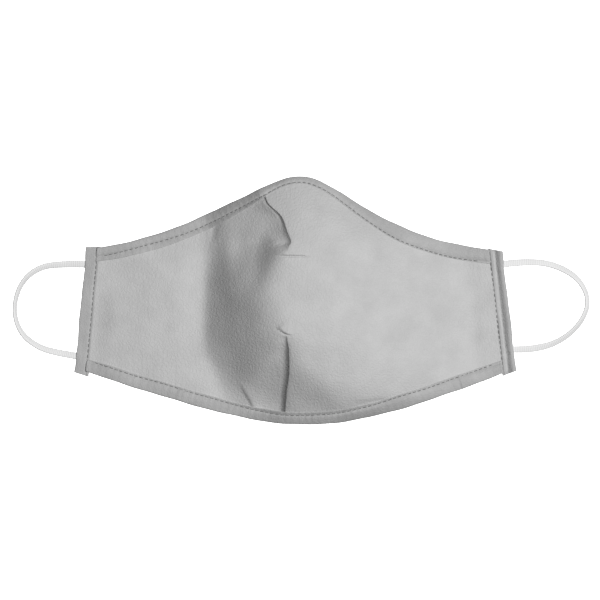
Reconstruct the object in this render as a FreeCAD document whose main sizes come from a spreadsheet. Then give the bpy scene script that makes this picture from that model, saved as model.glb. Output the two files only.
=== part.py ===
"""A sewn dust mask that lies face up on a table, with its two elastic ear loops spread beside it.

Three fabric layers, bound along the nose and chin edges and hemmed into a casing at each side. The mask
folds in half along a line through its nose and chin, so every layer and tape is made as two halves.
Millimetres. +Z is up, +Y points to the nose edge, +X to the right as seen from above.
"""

import FreeCAD, Part
import math
import os
import Sketcher
from FreeCAD import Placement, Rotation, Vector

# Driving dimensions: alias, value, what it is.
SIZES = [
    ("peak_x", 3.2, "nose peak from the middle of the mask"),
    ("peak_y", 68.3, "nose peak above the middle of the mask"),
    ("side_y", 20.3, "level that the nose edge falls towards"),
    ("side_tilt", -0.0125, "slope of that level"),
    ("peak_reach", 110.0, "peak to the end of the nose edge"),
    ("peak_round", 0.125, "rounding of the peak, as a share of the reach"),
    ("steep_left", 1.47, "steepness of the nose edge, left"),
    ("steep_right", 2.85, "steepness of the nose edge, right"),
    ("fade_left", 0.6, "softness of the foot of the slope, left"),
    ("fade_right", 1.23, "softness of the foot of the slope, right"),
    ("chin_x", 5.0, "lowest place of the chin edge"),
    ("chin_y", -68.3, "chin edge at its lowest"),
    ("chin_slope_left", 0.36, "slope that the chin edge reaches, left"),
    ("chin_slope_right", 0.44, "slope that the chin edge reaches, right"),
    ("chin_round_left", 50.0, "rounding of the chin edge, left"),
    ("chin_round_right", 62.0, "rounding of the chin edge, right"),
    ("rim_top_left", -115.5, "side edge at its nose end, left"),
    ("rim_top_right", 114.15, "side edge at its nose end, right"),
    ("rim_end_left", -121.85, "side edge at its chin end, left"),
    ("rim_end_right", 121.85, "side edge at its chin end, right"),
    ("rim_high_left", 29.6, "nose end of the side edge, left"),
    ("rim_high_right", 27.4, "nose end of the side edge, right"),
    ("rim_low", -39.8, "chin end of both side edges"),
    ("fold_x", -4.0, "centre fold"),
    ("fold_gap", 0.3, "space between the halves"),
    ("ridge_z", 37.0, "top of the cup"),
    ("nose_z", 18.0, "top of the fabric at the nose edge"),
    ("chin_z", 12.5, "top of the fabric at the chin edge"),
    ("crest_power", 2.4, "how long the ridge stays high between nose and chin"),
    ("level_z", 2.05, "top of the fabric where it lies flat"),
    ("pillow_z", 3.0, "rise of the left cheek between casing and valley"),
    ("pillow_full", 0.6, "where the cheek reaches that rise, as a share of the way from the casing to the foot"),
    ("pillow_fall", 0.7, "where it starts to fall to the foot, as such a share"),
    ("pillow_fade", 0.5, "how long it falls, as such a share"),
    ("dome_full", 1.15, "fullness of the dome, right"),
    ("foot_middle", 0.43, "foot of the steep left side, as a share of the way to the casing"),
    ("foot_nose", 0.1, "how far that foot swings in at the nose edge"),
    ("foot_chin", 0.23, "how far that foot swings in at the chin edge"),
    ("swing_from", 0.2, "where that swing starts, as a share of the way from the middle to the edge"),
    ("swing_over", 0.9, "how long it lasts, as such a share"),
    ("foot_soft", 0.2, "softness of the crease at that foot"),
    ("steep_straight", 0.35, "how much of the steep side rises straight"),
    ("steep_round", 0.3, "rounding of the straight rise below the ridge, as a share of the way"),
    ("face_thick", 0.35, "face fabric"),
    ("filter_thick", 0.35, "filter layer"),
    ("lining_thick", 0.3, "lining"),
    ("layer_gap", 0.05, "space between layers"),
    ("tape_thick", 0.45, "binding tape"),
    ("tape_narrow", 5.2, "binding width at the peak and at the chin"),
    ("tape_wide", 7.6, "binding width towards the sides"),
    ("tape_ease", 60.0, "distance over which the binding widens"),
    ("seam_share", 0.78, "seam's place across the binding, from the outer edge"),
    ("thread_wide", 0.4, "sewing thread"),
    ("thread_thick", 0.25, "sewing thread, pressed flat"),
    ("hem_wide", 8.0, "side casing, edge to edge"),
    ("hem_thick", 3.0, "side casing"),
    ("hem_slot", 1.2, "slot in the casing that holds the layers"),
    ("hem_slot_deep", 3.6, "depth of that slot"),
    ("hem_seam", 5.6, "casing seam from the outer edge"),
    ("groove_wide", 0.6, "groove that the casing seam sinks into"),
    ("groove_deep", 0.35, "depth of that groove"),
    ("elastic", 3.2, "ear loop, across"),
    ("elastic_flat", 1.4, "ear loop's sewn end, thickness"),
    ("elastic_hidden", 4.0, "ear loop inside the casing"),
    ("loop_gap", 0.3, "space between a loop's round end and the casing"),
    ("loop_high_left", 19.8, "upper end of the left loop"),
    ("loop_low_left", -30.4, "lower end of the left loop"),
    ("loop_high_right", 20.1, "upper end of the right loop"),
    ("loop_low_right", -27.2, "lower end of the right loop"),
]

# Where each ear loop lies between its two ends: (beyond the side edge, above the middle of the mask).
LOOP_ROUTE = {
    "left": [(11.0, 20.2), (25.0, 18.6), (34.5, 9.5), (37.0, -5.0), (32.0, -18.0), (21.0, -26.0), (9.5, -29.0)],
    "right": [(10.5, 21.4), (26.0, 20.6), (40.0, 13.0), (45.0, 0.0), (38.5, -13.0), (25.5, -23.0), (10.5, -27.0)],
}
SIDES = {"left": -1, "right": 1}

document = FreeCAD.newDocument("dust_mask")
sheet = document.addObject("Spreadsheet::Sheet", "sizes")
for row, (alias, value, meaning) in enumerate(SIZES, start=1):
    sheet.set(f"A{row}", meaning)
    sheet.set(f"B{row}", str(value))
    sheet.setAlias(f"B{row}", alias)
document.recompute()


def size(alias):
    return float(getattr(sheet, alias))


def ease(share):
    """0 below 0, 1 above 1, and a smooth step between."""
    share = min(1.0, max(0.0, share))
    return share * share * (3 - 2 * share)


# ---- the outline in plan ----


def nose_edge(x):
    """Nose edge: two slopes that meet in a rounded peak and flatten towards the sides."""
    side = "left" if x < size("peak_x") else "right"
    away = abs(x - size("peak_x")) / size("peak_reach")
    rounded = math.hypot(away, size("peak_round")) - size("peak_round")
    straight = 1 - size("steep_" + side) * rounded
    faded = (straight + math.hypot(straight, size("fade_" + side))) / 2
    foot = size("side_y") + size("side_tilt") * x
    return foot + (size("peak_y") - foot) * faded / ((1 + math.hypot(1, size("fade_" + side))) / 2)


def chin_edge(x):
    """Chin edge: one round sweep, a little fuller on the right."""
    side = "left" if x < size("chin_x") else "right"
    rounding = size("chin_round_" + side)
    return size("chin_y") + size("chin_slope_" + side) * (math.hypot(x - size("chin_x"), rounding) - rounding)


def side_edge(side, y):
    """Outer edge of a side casing, a straight line that leans out towards the chin."""
    share = (size("rim_high_" + side) - y) / (size("rim_high_" + side) - size("rim_low"))
    return size("rim_top_" + side) + share * (size("rim_end_" + side) - size("rim_top_" + side))


def tape_width(x):
    share = ease(abs(x - size("peak_x")) / size("tape_ease"))
    return size("tape_narrow") + (size("tape_wide") - size("tape_narrow")) * share


def inset(edge, into, distance):
    """The edge moved into the mask by a distance that may vary along it; into is -1 at the nose, 1 at the chin."""

    def moved(x):
        rise = (edge(x + 0.5) - edge(x - 0.5)) / 1.0
        wide = distance(x) if callable(distance) else distance
        return edge(x) + into * wide * math.hypot(1, rise)

    return moved


# ---- the height of the cup ----


def crest(across):
    """Height of the cup's ridge above the level fabric; across is -1 at the chin edge and 1 at the nose edge."""
    edge = size("nose_z") if across > 0 else size("chin_z")
    bow = 1 - abs(across) ** size("crest_power")
    return edge - size("level_z") + (size("ridge_z") - edge) * bow


def steep_side(share):
    """The left side, from 0 at the foot to 1 at the ridge: steepest where it leaves the cheek."""
    past = max(0.0, share - 1 + size("steep_round"))
    straight = (share - past**2 / size("steep_round") / 2) / (1 - size("steep_round") / 2)
    return straight * size("steep_straight") + math.sin(math.pi / 2 * share) * (1 - size("steep_straight"))


def gentle_side(share):
    """The right side, from 1 at the ridge to 0 at the casing."""
    slope = math.cos(math.pi / 2 * min(1.0, share)) ** 2
    return size("dome_full") * slope + (1 - size("dome_full")) * slope**2


def cup(station, across):
    """Height of the face fabric's top. station is -1 and 1 at the casings' inner edges and 0 at the fold."""
    if station > 0:
        return size("level_z") + crest(across) * gentle_side(station)
    toward = ease((abs(across) - size("swing_from")) / size("swing_over"))
    toward *= size("foot_nose" if across > 0 else "foot_chin")
    foot = size("foot_middle") - toward
    at_casing, here, at_ridge = (
        share + math.hypot(share, size("foot_soft")) for share in (1 - 1 / foot, 1 + max(station, -1) / foot, 1)
    )
    climb = (here - at_casing) / (at_ridge - at_casing)
    inward = (1 + station) / (1 - foot)
    cheek = ease(inward / size("pillow_full")) * (1 - ease((inward - size("pillow_fall")) / size("pillow_fade")))
    return size("level_z") + crest(across) * steep_side(climb) + size("pillow_z") * cheek * (1 - across**2)


def place(station, across):
    """Plan position of a station along the mask and a share across it."""
    y = 0.0
    for _ in range(6):
        end = side_edge("right", y) - size("hem_wide") if station > 0 else side_edge("left", y) + size("hem_wide")
        x = size("fold_x") + abs(station) * (end - size("fold_x"))
        y = (nose_edge(x) * (1 + across) + chin_edge(x) * (1 - across)) / 2
    return x, y


def steps(start, end, count):
    return [start + (end - start) * i / count for i in range(count + 1)]


STATIONS = steps(-1.12, -0.04, 54) + steps(0.0, 1.12, 28)
ACROSS = steps(-1.06, 1.06, 24)
cup_surface = Part.BSplineSurface()
cup_surface.interpolate([[Vector(*place(u, v), cup(u, v)) for v in ACROSS] for u in STATIONS])
cup_face = cup_surface.toShape()


def add(name, shape):
    """A document object that holds a shape made with Part's own functions."""
    item = document.addObject("Part::Feature", name)
    item.Shape = shape
    return item


def layer(name, top, thick):
    """A sheet that follows the cup: its upper side lies top above the face fabric's."""
    lifted = cup_face.translated(Vector(0, 0, top))
    return add(name, lifted.extrude(Vector(0, 0, -thick)))


# ---- areas in plan ----

PRISM_LOW, PRISM_HIGH = -5.0, 45.0


def curve(edge, start, end, count=28):
    """A smooth line along an edge, from one x to another."""
    points = [Vector(start + (end - start) * i / count, 0, PRISM_LOW) for i in range(count + 1)]
    for p in points:
        p.y = edge(p.x)
    line = Part.BSplineCurve()
    line.interpolate(points)
    return line.toShape(), points[0], points[-1]


def meets_side(edge, side, inward):
    """x where an edge reaches the line that lies inward of the side edge, measured square to it."""
    lean = side_edge(side, 1) - side_edge(side, 0)
    x = side_edge(side, 0)
    for _ in range(30):
        x = side_edge(side, edge(x)) - SIDES[side] * inward * math.hypot(1, lean)
    return x


def area(name, side, upper, lower, inward):
    """Everything above and below one half of the plan between two edges, up to a line inward of the side edge."""
    start = size("fold_x") + SIDES[side] * size("fold_gap") / 2
    top_line, top_start, top_end = curve(upper, start, meets_side(upper, side, inward))
    low_line, low_start, low_end = curve(lower, start, meets_side(lower, side, inward))
    wire = Part.Wire(
        [top_line, Part.makeLine(top_end, low_end), low_line, Part.makeLine(low_start, top_start)]
    )
    return add(name, Part.Face(wire).extrude(Vector(0, 0, PRISM_HIGH - PRISM_LOW)))


def common(name, *items):
    item = document.addObject("Part::MultiCommon", name)
    item.Shapes = list(items)
    return item


def cut(name, base, tool):
    item = document.addObject("Part::Cut", name)
    item.Base, item.Tool = base, tool
    return item


def group(name, *items):
    item = document.addObject("Part::Compound", name)
    item.Links = list(items)
    return item


# ---- the three fabric layers ----

EDGES = {"top": (nose_edge, -1), "bottom": (chin_edge, 1)}
wrap = size("tape_thick") + size("layer_gap")  # how far the layers stop inside the binding's outer edge
stack = size("face_thick") + size("filter_thick") + size("lining_thick") + 2 * size("layer_gap")
slot_inward = size("hem_wide") - size("hem_slot_deep") + size("layer_gap")

filter_top = -size("face_thick") - size("layer_gap")
lining_top = filter_top - size("filter_thick") - size("layer_gap")
LAYERS = {
    "face_panel": layer("face_sheet", 0, size("face_thick")),
    "filter_layer": layer("filter_sheet", filter_top, size("filter_thick")),
    "lining": layer("lining_sheet", lining_top, size("lining_thick")),
}
parts = []
for side in SIDES:
    plan = area(f"fabric_plan_{side}", side, inset(nose_edge, -1, wrap), inset(chin_edge, 1, wrap), slot_inward)
    for name, sheet_item in LAYERS.items():
        parts.append(common(f"{name}_{side}", sheet_item, plan))

# ---- binding tapes, folded round the nose and chin edges, and their seams ----

tape_top = size("layer_gap") + size("tape_thick")
tape_sheet = layer("tape_sheet", tape_top, stack + 2 * tape_top)
core_sheet = layer("core_sheet", size("layer_gap"), stack + 2 * size("layer_gap"))
thread_lift = size("layer_gap") / 2
over_sheet = layer("over_sheet", tape_top + thread_lift + size("thread_thick"), size("thread_thick"))
under_sheet = layer("under_sheet", -stack - tape_top - thread_lift, size("thread_thick"))
hem_inward = size("hem_wide") + size("layer_gap")


def seam_place(shift):
    return lambda x: tape_width(x) * size("seam_share") + shift


def band(name, side, edge_name, outer, inner, inward):
    """The plan of a strip along one edge of one half, between two distances from the outline."""
    edge, into = EDGES[edge_name]
    lines = [inset(edge, into, outer), inset(edge, into, inner)]
    if into > 0:
        lines.reverse()
    return area(name, side, lines[0], lines[1], inward)


for side in SIDES:
    for edge_name in EDGES:
        label = f"{edge_name}_binding_{side}"
        strip = common(label + "_strip", tape_sheet, band(label + "_plan", side, edge_name, 0, tape_width, hem_inward))
        inside = band(label + "_inside", side, edge_name, size("tape_thick"), 20, hem_inward - 5)
        core = common(label + "_core", core_sheet, inside)
        parts.append(cut(label, strip, core))
        half = size("thread_wide") / 2
        line_plan = band(label + "_seam", side, edge_name, seam_place(-half), seam_place(half), hem_inward)
        over = common(label + "_over", over_sheet, line_plan)
        under = common(label + "_under", under_sheet, line_plan)
        parts.append(group(f"{edge_name}_binding_thread_{side}", over, under))

# ---- side casings: a hem folded round the layers, with the sewn ends of the ear loops in its outer edge ----


def side_placement(side):
    """From a casing's own frame (x outward from its outer edge, y along it, z up) to the mask."""
    high = Vector(size("rim_top_" + side), size("rim_high_" + side), 0)
    low = Vector(size("rim_end_" + side), size("rim_low"), 0)
    along = high - low
    turn = math.degrees(math.atan2(along.y, along.x)) - 90
    if side == "left":
        turn += 180
    return Placement((high + low) * 0.5, Rotation(Vector(0, 0, 1), turn))


def local_y(side, y):
    """Place along a casing, in its own frame, of a point on its outer edge."""
    return side_placement(side).inverse().multVec(Vector(side_edge(side, y), y, 0)).y


def plane_of(body, role):
    return next(f for f in body.Origin.OriginFeatures if getattr(f, "Role", "") == role)


def sketch_on(body, name, role):
    sketch = body.newObject("Sketcher::SketchObject", name)
    sketch.AttachmentSupport = [(plane_of(body, role), "")]
    sketch.MapMode = "FlatFace"
    return sketch


def box_sketch(sketch, x, y, wide, high):
    """A rectangle whose lower left corner is at x, y; the four sizes are expressions over the sheet."""
    corners = [Vector(0, 0), Vector(1, 0), Vector(1, 1), Vector(0, 1)]
    first = sketch.GeometryCount
    for i in range(4):
        sketch.addGeometry(Part.LineSegment(corners[i], corners[(i + 1) % 4]))
    for i in range(4):
        sketch.addConstraint(Sketcher.Constraint("Coincident", first + i, 2, first + (i + 1) % 4, 1))
    for i, kind in enumerate(("Horizontal", "Vertical", "Horizontal", "Vertical")):
        sketch.addConstraint(Sketcher.Constraint(kind, first + i))
    for kind, args, text in (
        ("DistanceX", (-1, 1, first, 1), x),
        ("DistanceY", (-1, 1, first, 1), y),
        ("DistanceX", (first, 1, first, 2), wide),
        ("DistanceY", (first + 1, 1, first + 1, 2), high),
    ):
        place = sketch.addConstraint(Sketcher.Constraint(kind, *args, 0.5))
        sketch.setExpression(f"Constraints[{place}]", text)


def casing(side):
    """C-shaped hem: padded section with a slot for the layers, two seam grooves and two pockets for the elastic."""
    body = document.addObject("PartDesign::Body", f"side_casing_{side}")
    section = sketch_on(body, f"casing_section_{side}", "XZ_Plane")
    box_sketch(section, "-sizes.hem_wide", "0", "sizes.hem_wide", "sizes.hem_thick")
    pad = body.newObject("PartDesign::Pad", f"casing_pad_{side}")
    pad.Profile = section
    pad.Midplane = True
    pad.setExpression("Length", f"sizes.rim_high_{side} - sizes.rim_low")
    document.recompute()
    edges = [
        f"Edge{i}"
        for i, e in enumerate(pad.Shape.Edges, start=1)
        if e.BoundBox.XMin > -0.01 and e.BoundBox.YLength > 1
    ]
    rounding = body.newObject("PartDesign::Fillet", f"casing_round_{side}")
    rounding.Base = (pad, edges)
    rounding.setExpression("Radius", "sizes.hem_thick * 0.45")
    document.recompute()
    cuts = [
        ("slot", "-sizes.hem_wide", "(sizes.hem_thick - sizes.hem_slot) / 2", "sizes.hem_slot_deep", "sizes.hem_slot"),
        ("groove_low", "-sizes.hem_seam - sizes.groove_wide / 2", "0", "sizes.groove_wide", "sizes.groove_deep"),
        (
            "groove_high",
            "-sizes.hem_seam - sizes.groove_wide / 2",
            "sizes.hem_thick - sizes.groove_deep",
            "sizes.groove_wide",
            "sizes.groove_deep",
        ),
    ]
    for name, *where in cuts:
        before = body.Shape.Volume
        outline = sketch_on(body, f"{name}_sketch_{side}", "XZ_Plane")
        box_sketch(outline, *where)
        pocket = body.newObject("PartDesign::Pocket", f"{name}_{side}")
        pocket.Profile = outline
        pocket.Midplane = True
        pocket.setExpression("Length", f"2 * (sizes.rim_high_{side} - sizes.rim_low)")
        document.recompute()
        assert body.Shape.Volume < before - 1, f"{name} cut nothing"
    for end in ("high", "low"):
        before = body.Shape.Volume
        middle = local_y(side, size(f"loop_{end}_{side}"))
        outline = sketch_on(body, f"elastic_{end}_sketch_{side}", "YZ_Plane")
        box_sketch(
            outline,
            f"{middle} - sizes.elastic / 2 - sizes.layer_gap",
            "(sizes.hem_thick - sizes.elastic_flat) / 2 - sizes.layer_gap",
            "sizes.elastic + 2 * sizes.layer_gap",
            "sizes.elastic_flat + 2 * sizes.layer_gap",
        )
        pocket = body.newObject("PartDesign::Pocket", f"elastic_{end}_{side}")
        pocket.Profile = outline
        pocket.setExpression("Length", "sizes.elastic_hidden + sizes.layer_gap")
        document.recompute()
        assert body.Shape.Volume < before - 1, f"the {end} elastic pocket cut nothing"
    body.Placement = side_placement(side)
    return body


def bound_box(name, side, place, length, wide, high):
    """A box in a casing's frame: place is its lowest corner, and its three sizes are expressions."""
    item = document.addObject("Part::Box", name)
    for prop, text in (("Length", length), ("Width", wide), ("Height", high)):
        item.setExpression(prop, text)
    item.Placement = side_placement(side).multiply(Placement(place, Rotation()))
    return item


for side in SIDES:
    parts.append(casing(side))
    ends = [
        bound_box(
            f"elastic_end_{end}_{side}",
            side,
            Vector(
                -size("elastic_hidden"),
                local_y(side, size(f"loop_{end}_{side}")) - size("elastic") / 2,
                (size("hem_thick") - size("elastic_flat")) / 2,
            ),
            "sizes.elastic_hidden",
            "sizes.elastic",
            "sizes.elastic_flat",
        )
        for end in ("high", "low")
    ]
    parts.append(group(f"ear_loop_ends_{side}", *ends))
    length = size("rim_high_" + side) - size("rim_low")
    threads = [
        bound_box(
            f"casing_thread_{level}_{side}",
            side,
            Vector(-size("hem_seam") - size("thread_wide") / 2, -length / 2 + 0.5, height),
            "sizes.thread_wide",
            f"sizes.rim_high_{side} - sizes.rim_low - 1",
            "sizes.thread_thick",
        )
        for level, height in (
            ("under", size("groove_deep") - size("layer_gap") - size("thread_thick")),
            ("over", size("hem_thick") - size("groove_deep") + size("layer_gap")),
        )
    ]
    parts.append(group(f"casing_thread_{side}", *threads))

# ---- ear loops: elastic cord on the table, from one end at the casing round to the other ----


def tangent_path(points):
    """Straight runs joined by tangent arcs, each as large as its two runs allow."""
    pieces, here, radii = [], points[0], []
    for before, corner, after in zip(points, points[1:], points[2:]):
        back, on = before - corner, after - corner
        turn = math.pi - back.getAngle(on)
        reach = 0.45 * min(back.Length, on.Length)
        radii.append(reach / math.tan(turn / 2))
        back.normalize()
        on.normalize()
        start, end = corner + back * reach, corner + on * reach
        inward = (back + on).normalize()
        middle = corner + inward * (radii[-1] / math.cos(turn / 2) - radii[-1])
        pieces.append(Part.LineSegment(here, start).toShape())
        pieces.append(Part.Arc(start, middle, end).toShape())
        here = end
    pieces.append(Part.LineSegment(here, points[-1]).toShape())
    return Part.Wire(pieces), radii


def pivot(side, y):
    """Where a loop's round end turns, just outside the casing's outer edge."""
    place = side_placement(side)
    outward = size("elastic") / 2 + size("loop_gap")
    return place.multVec(Vector(outward, local_y(side, y), size("elastic") / 2))


def ear_loop(side):
    radius = size("elastic") / 2
    ends = [pivot(side, size(f"loop_{end}_{side}")) for end in ("high", "low")]
    route = [Vector(side_edge(side, y) + SIDES[side] * out, y, radius) for out, y in LOOP_ROUTE[side]]
    points = [ends[0], *route, ends[1]]
    path, radii = tangent_path(points)
    start, onward = points[0], points[1] - points[0]
    ring = Part.Wire(Part.Circle(start, onward, radius).toShape())
    tube = path.makePipeShell([ring], True, False)
    drawn = math.pi * radius**2 * path.Length
    runs = [(b - a).Length for a, b in zip(points, points[1:])]
    print(f"ear loop {side}: length {path.Length:.1f}, smallest radius {min(radii):.1f},", end=" ")
    print(f"radii {[round(r, 1) for r in radii]}, runs {[round(r, 1) for r in runs]},", end=" ")
    print(f"volume over section times length {tube.Volume / drawn:.4f}")
    for end in ends:
        tube = tube.fuse(Part.makeSphere(radius, end))
    return add(f"ear_loop_{side}", tube.removeSplitter())


for side in SIDES:
    parts.append(ear_loop(side))

# ---- check everything, then write one file for each sub-part ----

document.recompute()
for item in document.Objects:
    assert not {"Invalid", "Error"} & set(item.State), f"{item.Name} failed: {item.State}"
os.makedirs("parts", exist_ok=True)
for item in parts:
    item.Label = item.Name
    shape = item.Shape
    assert not shape.isNull() and shape.isValid() and shape.Solids, f"{item.Label} is not sound"
    print(f"{item.Label}: {len(shape.Solids)} solid(s), {shape.Volume:.1f} mm3, z from {shape.BoundBox.ZMin:.2f}")
    shape.exportStep(f"parts/{item.Label}.step")
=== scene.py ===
"""Looks of a sewn dust mask: cloth, tapes, hems, stitches and elastic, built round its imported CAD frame.

Blender works in metres. Lengths in this script are in millimetres, and MM turns them into metres.
"""

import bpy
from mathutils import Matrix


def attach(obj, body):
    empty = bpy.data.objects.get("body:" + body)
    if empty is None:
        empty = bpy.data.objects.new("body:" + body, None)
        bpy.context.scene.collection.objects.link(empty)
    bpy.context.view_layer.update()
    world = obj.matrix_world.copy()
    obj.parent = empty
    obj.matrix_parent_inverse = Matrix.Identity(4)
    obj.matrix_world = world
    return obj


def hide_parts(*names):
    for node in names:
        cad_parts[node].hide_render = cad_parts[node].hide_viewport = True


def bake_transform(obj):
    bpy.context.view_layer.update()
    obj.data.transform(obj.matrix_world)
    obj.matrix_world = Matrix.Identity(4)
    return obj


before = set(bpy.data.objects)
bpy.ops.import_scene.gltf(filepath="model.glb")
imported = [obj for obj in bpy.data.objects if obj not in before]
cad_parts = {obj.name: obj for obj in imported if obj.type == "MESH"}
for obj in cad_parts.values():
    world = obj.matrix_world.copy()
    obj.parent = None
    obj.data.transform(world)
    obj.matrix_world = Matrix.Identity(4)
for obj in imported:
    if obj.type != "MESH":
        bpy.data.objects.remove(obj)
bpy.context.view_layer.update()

import math

import bmesh
import bpy
import numpy as np
from mathutils import Vector

MM = 0.001
SIDES = {"left": -1, "right": 1}
rng = np.random.default_rng(7)

# ---- the mask's shape, with the driving sizes of the CAD model ----

PEAK_X, PEAK_Y, PEAK_REACH, PEAK_ROUND = 3.2, 68.3, 110.0, 0.125
SIDE_Y, SIDE_TILT = 20.3, -0.0125
STEEP = {"left": 1.47, "right": 2.85}
FADE = {"left": 0.6, "right": 1.23}
CHIN_X, CHIN_Y = 5.0, -68.3
CHIN_SLOPE = {"left": 0.36, "right": 0.44}
CHIN_ROUND = {"left": 50.0, "right": 62.0}
RIM_HIGH, RIM_LOW = {"left": 29.6, "right": 27.4}, -39.8
RIM_TOP = {"left": -115.5, "right": 114.15}
RIM_END = {"left": -121.85, "right": 121.85}
FOLD_X = -4.0
RIDGE_Z, NOSE_Z, CHIN_Z, LEVEL_Z = 37.0, 18.0, 12.5, 2.05
CREST_POWER = 2.4
PILLOW_Z, PILLOW_FULL, PILLOW_FALL, PILLOW_FADE = 3.0, 0.6, 0.7, 0.5
SWING_FROM, SWING_OVER = 0.2, 0.9
FACE_THICK, FILTER_THICK, LINING_THICK, LAYER_GAP = 0.35, 0.35, 0.3, 0.05
STACK = FACE_THICK + FILTER_THICK + LINING_THICK + 2 * LAYER_GAP
HEM_WIDE, HEM_THICK = 8.0, 3.0
# The cloth itself: its foot is sharper than the CAD model's, its dome is a little fuller, and its ridge
# leans right towards the chin. From OUTER on, the shape near the nose and chin edges takes over.
FOOT_MIDDLE, FOOT_NOSE, FOOT_CHIN, FOOT_SOFT = 0.43, -0.02, 0.14, 0.07
OUTER_FROM, OUTER_OVER = 0.15, 0.4
STEEP_STRAIGHT, STRAIGHT_NOSE, STRAIGHT_CHIN = 0.25, 1.0, 0.7
ROUND_MIDDLE, ROUND_NOSE, ROUND_CHIN = 0.3, 0.08, 0.45
RIDGE_LEAN = 48.0
DOME_FULL = 1.3


def ease(share):
    share = np.clip(share, 0, 1)
    return share * share * (3 - 2 * share)


def bell(distance, width):
    return np.exp(-((distance / width) ** 2))


def by_side(x, middle, sizes):
    return np.where(x < middle, sizes["left"], sizes["right"])


def nose_edge(x):
    """Nose edge: two slopes that meet in a rounded peak and flatten towards the sides."""
    steep, fade = by_side(x, PEAK_X, STEEP), by_side(x, PEAK_X, FADE)
    away = np.abs(x - PEAK_X) / PEAK_REACH
    straight = 1 - steep * (np.hypot(away, PEAK_ROUND) - PEAK_ROUND)
    faded = (straight + np.hypot(straight, fade)) / (1 + np.hypot(1, fade))
    foot = SIDE_Y + SIDE_TILT * x
    return foot + (PEAK_Y - foot) * faded


def chin_edge(x):
    """Chin edge: one round sweep."""
    rounding = by_side(x, CHIN_X, CHIN_ROUND)
    return CHIN_Y + by_side(x, CHIN_X, CHIN_SLOPE) * (np.hypot(x - CHIN_X, rounding) - rounding)


def side_edge(side, y):
    """x of a hem's outer edge."""
    share = (RIM_HIGH[side] - y) / (RIM_HIGH[side] - RIM_LOW)
    return RIM_TOP[side] + share * (RIM_END[side] - RIM_TOP[side])


def stations(x, y):
    """Where places lie: -1 to 1 from the left hem to the right, and -1 to 1 from chin to nose edge."""
    left = FOLD_X - side_edge("left", y) - HEM_WIDE
    right = side_edge("right", y) - HEM_WIDE - FOLD_X
    end = np.where(x < FOLD_X, left, right)
    high, low = nose_edge(x), chin_edge(x)
    return (x - FOLD_X) / end, (2 * y - high - low) / (high - low)


def crest(across):
    """Height of the ridge over the hems' level, from the chin edge over the middle to the nose edge."""
    edge = np.where(across > 0, NOSE_Z, CHIN_Z)
    return edge - LEVEL_Z + (RIDGE_Z - edge) * (1 - np.abs(across) ** CREST_POWER)


def smooth_line(points, count=60):
    """Points along a smooth curve through the given ones."""
    points = np.array(points, float)
    padded = np.vstack([2 * points[0] - points[1], points, 2 * points[-1] - points[-2]])
    line = []
    for i in range(1, len(padded) - 2):
        a, b, c, d = padded[i - 1 : i + 3]
        bow, turn = 2 * a - 5 * b + 4 * c - d, 3 * b - a - 3 * c + d
        for t in np.linspace(0, 1, max(2, count // len(points)), endpoint=False):
            line.append(0.5 * (2 * b + (c - a) * t + bow * t**2 + turn * t**3))
    return np.array([*line, points[-1]])


# The seam of the two darts, from the chin edge up to the nose edge. Between them it only guides the mesh.
DART_LINE = [
    (-6.0, -69.0), (-5.7, -61.0), (-5.0, -50.0), (-3.7, -41.0), (-3.6, -31.0), (-3.9, -25.0),
    (-4.7, -19.0), (-5.2, 4.0), (-4.2, 26.9), (-3.1, 30.4), (-2.6, 32.7), (-4.8, 38.1),
    (-6.6, 43.7), (-8.7, 47.2), (-14.7, 52.9), (-16.8, 57.4), (-22.0, 68.0),
]
CHIN_DART_TIP, NOSE_DART_TIP = -18.8, 26.4
SEAM_DROP = 0.2  # how much of a dart's drop is right at its seam

dart_line = smooth_line(DART_LINE, count=400)


def guide(y):
    """x of the darts' seam."""
    return np.interp(y, dart_line[:, 1], dart_line[:, 0])


def slope_at(line, at):
    """How far a line rises over one millimetre."""
    return line(at + 0.5) - line(at - 0.5)


def cup(x, y):
    """Height of the outer side: flat left cheek, steep rise to the ridge, long dome to the right."""
    along, across = stations(x, y)
    left_end, right_end = side_edge("left", y) + HEM_WIDE, side_edge("right", y) - HEM_WIDE
    outer = ease((np.abs(across) - OUTER_FROM) / OUTER_OVER)
    ridge = guide(y) + RIDGE_LEAN * np.minimum(across, 0) ** 2
    swing = np.where(across > 0, FOOT_NOSE, FOOT_CHIN) * ease((np.abs(across) - SWING_FROM) / SWING_OVER)
    foot = FOOT_MIDDLE - swing
    foot_x = FOLD_X - foot * (FOLD_X - left_end)

    slope = np.cos(math.pi / 2 * np.clip((x - ridge) / (right_end - ridge), 0, 1)) ** 2
    dome = DOME_FULL * slope + (1 - DOME_FULL) * slope**2

    at_hem, here, at_ridge = (
        share + np.hypot(share, FOOT_SOFT)
        for share in ((left_end - foot_x) / (ridge - foot_x), (x - foot_x) / (ridge - foot_x), 1.0)
    )
    climb = np.clip((here - at_hem) / (at_ridge - at_hem), 0, 1)
    outer_straight = np.where(across > 0, STRAIGHT_NOSE, STRAIGHT_CHIN)
    outer_round = np.where(across > 0, ROUND_NOSE, ROUND_CHIN)
    share_straight = STEEP_STRAIGHT + (outer_straight - STEEP_STRAIGHT) * outer
    rounding = ROUND_MIDDLE + (outer_round - ROUND_MIDDLE) * outer
    straight = (climb - np.maximum(0, climb - 1 + rounding) ** 2 / rounding / 2) / (1 - rounding / 2)
    steep = straight * share_straight + np.sin(math.pi / 2 * climb) * (1 - share_straight)
    inward = (1 + along) / (1 - foot)
    filled = ease(inward / PILLOW_FULL) * (1 - ease((inward - PILLOW_FALL) / PILLOW_FADE))
    cheek = filled * PILLOW_Z * (1 - across**2)
    return LEVEL_Z + crest(across) * np.where(x > ridge, dome, steep) + cheek


# ---- what sewing and handling did to the cloth ----

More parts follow.
